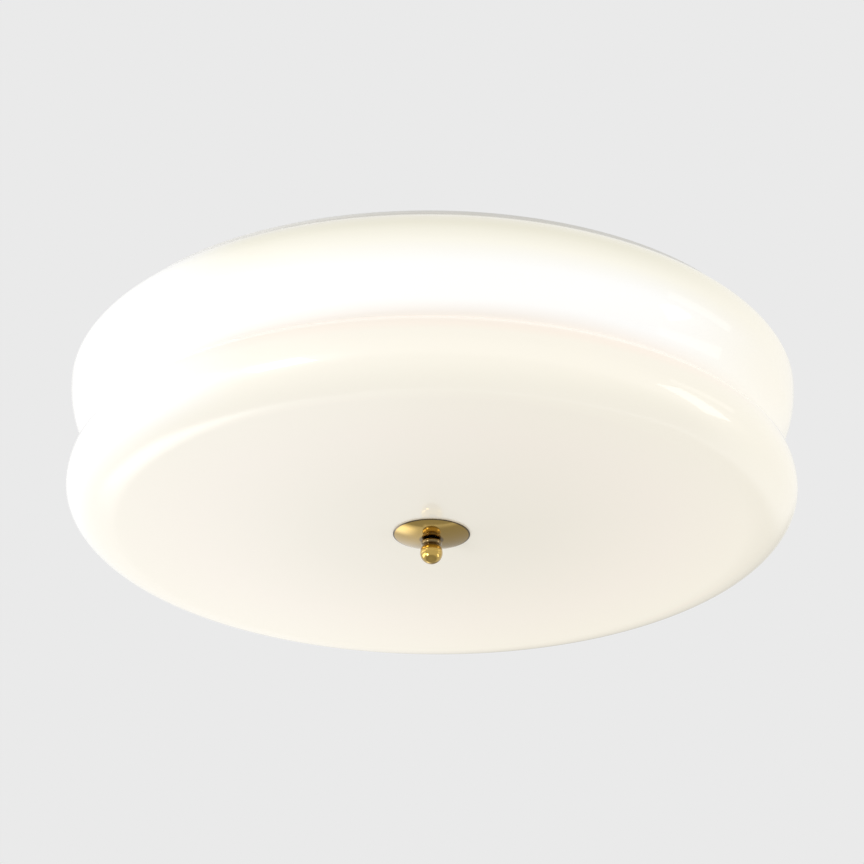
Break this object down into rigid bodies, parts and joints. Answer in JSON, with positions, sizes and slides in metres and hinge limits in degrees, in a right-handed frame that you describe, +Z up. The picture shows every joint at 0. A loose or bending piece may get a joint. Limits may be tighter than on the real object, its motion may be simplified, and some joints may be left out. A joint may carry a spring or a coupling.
{
  "type": "flush ceiling light",
  "caption": "Flush ceiling light: two-tier opal glass shade held by a brass cap and ball knob on a centre rod, under a white steel pan with E27 lampholders and bulbs.",
  "frame": {"origin": "centre of the two ceiling slots, in the plane of the ceiling", "axes": "+Z points up into the ceiling, the shade hangs towards -Z; Y runs along the ceiling strap"},
  "size_m": [0.4, 0.4, 0.1169],
  "materials": {
    "opal_glass": "glossy opal glass, blown in two tiers",
    "polished_brass": "spun and turned brass, polished and lacquered",
    "white_enamel": "satin white powder coat on spun steel",
    "zinc_steel": "bright zinc plate",
    "nickel": "nickel plate",
    "plain_brass": "rolled brass, dull",
    "clear_silicone": "milky silicone",
    "black_rubber": "moulded rubber",
    "white_resin": "white moulded thermoplastic",
    "bulb_plastic": "matt white moulded plastic",
    "bulb_diffuser": "milky diffuser",
    "contact_tin": "tinned contact on a dark insulator",
    "lead_sheath": "white flexible sheath"
  },
  "bodies": {
    "root": {"ceiling_pan": "white_enamel", "mounting_bracket": "zinc_steel", "bracket_nuts": "zinc_steel", "pan_washer": "zinc_steel", "pan_nut": "zinc_steel", "pan_screws": "zinc_steel", "screw_washers": "zinc_steel", "centre_rod": "zinc_steel", "stop_nut": "zinc_steel", "inner_plate": "zinc_steel", "earth_screw": "zinc_steel", "earth_nut": "zinc_steel", "bracket_screws": "zinc_steel", "holder_nipples": "zinc_steel", "nipple_nuts": "zinc_steel", "terminal_screws": "zinc_steel", "holder_bracket_1": "zinc_steel", "holder_bracket_2": "zinc_steel", "holder_bracket_3": "zinc_steel", "thumb_nuts": "nickel", "terminal_sleeves": "plain_brass", "centre_contacts": "plain_brass", "thread_shell_1": "plain_brass", "thread_shell_2": "plain_brass", "thread_shell_3": "plain_brass", "rim_gasket": "clear_silicone", "inner_washer": "clear_silicone", "wire_grommets": "black_rubber", "terminal_block": "white_resin", "holder_dome_1": "white_resin", "holder_dome_2": "white_resin", "holder_dome_3": "white_resin", "holder_skirt_1": "white_resin", "holder_skirt_2": "white_resin", "holder_skirt_3": "white_resin", "holder_lead_1": "lead_sheath", "holder_lead_2": "lead_sheath", "holder_lead_3": "lead_sheath"},
    "shade": {"glass_shade": "opal_glass", "hole_sleeve": "clear_silicone"},
    "cap": {"finial_cap": "polished_brass", "glass_washer": "clear_silicone"},
    "knob": {"finial_knob": "polished_brass"},
    "bulb_travel_1": {"bulb_tip_1": "contact_tin"},
    "bulb_1": {"bulb_cap_1": "nickel", "bulb_housing_1": "bulb_plastic", "bulb_globe_1": "bulb_diffuser"},
    "bulb_travel_2": {"bulb_tip_2": "contact_tin"},
    "bulb_2": {"bulb_cap_2": "nickel", "bulb_housing_2": "bulb_plastic", "bulb_globe_2": "bulb_diffuser"},
    "bulb_travel_3": {"bulb_tip_3": "contact_tin"},
    "bulb_3": {"bulb_cap_3": "nickel", "bulb_housing_3": "bulb_plastic", "bulb_globe_3": "bulb_diffuser"}
  },
  "joints": [
    {"name": "shade_lower", "type": "slide", "parent": "root", "child": "shade", "axis": [0, 0, -1], "range_m": [0, 0.11]},
    {"name": "cap_travel", "type": "slide", "parent": "shade", "child": "cap", "axis": [0, 0, -1], "range_m": [0, 0.008]},
    {"name": "knob_turn", "type": "hinge", "parent": "cap", "child": "knob", "pos_m": [0, 0, -0.11], "axis": [0, 0, -1], "range_deg": [0, 2881]},
    {"name": "bulb_travel_1", "type": "slide", "parent": "root", "child": "bulb_travel_1", "axis": [0.5, 0.866, 0], "range_m": [0, 0.01086]},
    {"name": "bulb_turn_1", "type": "hinge", "parent": "bulb_travel_1", "child": "bulb_1", "pos_m": [0.05, 0.0866, -0.057], "axis": [0.5, 0.866, 0], "range_deg": [0, 1081]},
    {"name": "bulb_travel_2", "type": "slide", "parent": "root", "child": "bulb_travel_2", "axis": [-1, 0, 0], "range_m": [0, 0.01086]},
    {"name": "bulb_turn_2", "type": "hinge", "parent": "bulb_travel_2", "child": "bulb_2", "pos_m": [-0.1, 0, -0.057], "axis": [-1, 0, 0], "range_deg": [0, 1081]},
    {"name": "bulb_travel_3", "type": "slide", "parent": "root", "child": "bulb_travel_3", "axis": [0.5, -0.866, 0], "range_m": [0, 0.01086]},
    {"name": "bulb_turn_3", "type": "hinge", "parent": "bulb_travel_3", "child": "bulb_3", "pos_m": [0.05, -0.0866, -0.057], "axis": [0.5, -0.866, 0], "range_deg": [0, 1081]}
  ],
  "couplings": [
    {"joint": "knob_turn", "follows": "cap_travel", "rad_per_m": 6283.2},
    {"joint": "bulb_turn_1", "follows": "bulb_travel_1", "rad_per_m": 1735.7},
    {"joint": "bulb_turn_2", "follows": "bulb_travel_2", "rad_per_m": 1735.7},
    {"joint": "bulb_turn_3", "follows": "bulb_travel_3", "rad_per_m": 1735.7}
  ]
}
